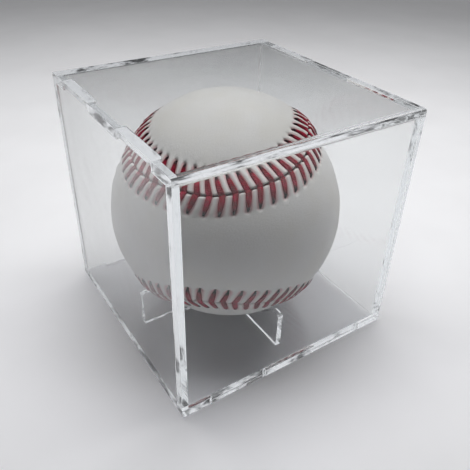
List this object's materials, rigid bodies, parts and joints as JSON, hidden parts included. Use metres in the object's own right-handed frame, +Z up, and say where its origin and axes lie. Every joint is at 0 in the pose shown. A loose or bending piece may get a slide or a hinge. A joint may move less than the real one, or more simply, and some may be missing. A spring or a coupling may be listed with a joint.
{
  "type": "baseball display cube",
  "caption": "Clear two-part display cube with interlocking tabbed edges, holding a stitched leather ball on low cradle fins; the cover half lifts off",
  "frame": {"origin": "centre of the case's flat underside, at rest with the case closed", "axes": "+Z up, the way the cover half and the ball lift off; +X and -X point through the base half's walls; +Y and -Y point through the cover half's walls, and the pictured corner lies between -X and -Y"},
  "size_m": [0.082, 0.082, 0.082],
  "materials": {
    "clear_polystyrene": "gloss",
    "white_leather": "satin",
    "red_waxed_thread": "satin",
    "cotton_yarn": "matte",
    "grey_wool_yarn": "matte",
    "white_wool_yarn": "matte",
    "red_rubber": "satin",
    "black_rubber": "satin",
    "composition_cork": "matte"
  },
  "bodies": {
    "base": {"base_half": "clear_polystyrene"},
    "ball": {"leather_panel_upper": "white_leather", "leather_panel_lower": "white_leather", "seam_thread": "red_waxed_thread", "cotton_winding": "cotton_yarn", "outer_grey_wool_winding": "grey_wool_yarn", "white_wool_winding": "white_wool_yarn", "inner_grey_wool_winding": "grey_wool_yarn", "red_rubber_layer": "red_rubber", "black_rubber_shell_upper": "black_rubber", "black_rubber_shell_lower": "black_rubber", "shell_gasket": "red_rubber", "cork_core": "composition_cork"},
    "cover": {"cover_half": "clear_polystyrene"}
  },
  "joints": [
    {"name": "ball_lift", "type": "slide", "parent": "base", "child": "ball", "axis": [0, 0, 1], "range_m": [0, 0.08]},
    {"name": "cover_lift", "type": "slide", "parent": "ball", "child": "cover", "axis": [0, 0, 1], "range_m": [0, 0.085]}
  ]
}
